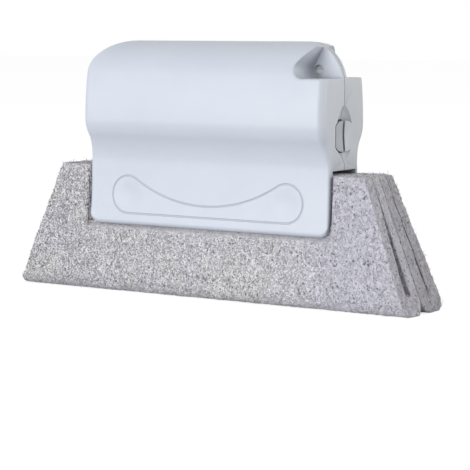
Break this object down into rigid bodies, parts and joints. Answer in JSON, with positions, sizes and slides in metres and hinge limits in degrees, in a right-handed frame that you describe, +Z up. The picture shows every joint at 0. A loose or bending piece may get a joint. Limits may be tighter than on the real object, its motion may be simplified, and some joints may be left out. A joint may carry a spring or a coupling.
{
  "type": "gap cleaning brush",
  "caption": "Palm-grip cleaning brush whose grip opens like a clam and clamps folded scouring pads that reach past its ends to clean narrow gaps.",
  "frame": {"origin": "on the surface that the brush stands on, under the middle of the bounding box", "axes": "+X along the brush, towards the end with the hanging notch; +Y towards the rear half; +Z up, from the pads to the crest of the grip"},
  "size_m": [0.16, 0.0296, 0.09],
  "materials": {
    "grip_polypropylene": "moulded polypropylene, satin, pale bluish grey",
    "hinge_polypropylene": "thin moulded polypropylene film, satin",
    "scouring_web": "non-woven abrasive fibre web, grey with a faint lavender cast, rough and open"
  },
  "bodies": {
    "front_half": {"front_shell": "grip_polypropylene", "hinge_film": "hinge_polypropylene", "pad_front": "scouring_web"},
    "rear_half": {"rear_shell": "grip_polypropylene", "pad_rear": "scouring_web"},
    "latch_right": {"latch_tongue_right": "grip_polypropylene"},
    "latch_left": {"latch_tongue_left": "grip_polypropylene"}
  },
  "joints": [
    {"name": "clamshell_hinge", "type": "hinge", "parent": "front_half", "child": "rear_half", "pos_m": [0, 0, 0.09], "axis": [1, 0, 0], "range_deg": [0, 120], "deforming": ["hinge_film"]},
    {"name": "latch_press_right", "type": "hinge", "parent": "front_half", "child": "latch_right", "pos_m": [0.04885, -0.0056, 0.0581], "axis": [0, 0, 1], "range_deg": [0, 8], "stiffness_Nm_per_rad": 0.02},
    {"name": "latch_press_left", "type": "hinge", "parent": "front_half", "child": "latch_left", "pos_m": [-0.04885, -0.0056, 0.0581], "axis": [0, 0, -1], "range_deg": [0, 8], "stiffness_Nm_per_rad": 0.02}
  ]
}
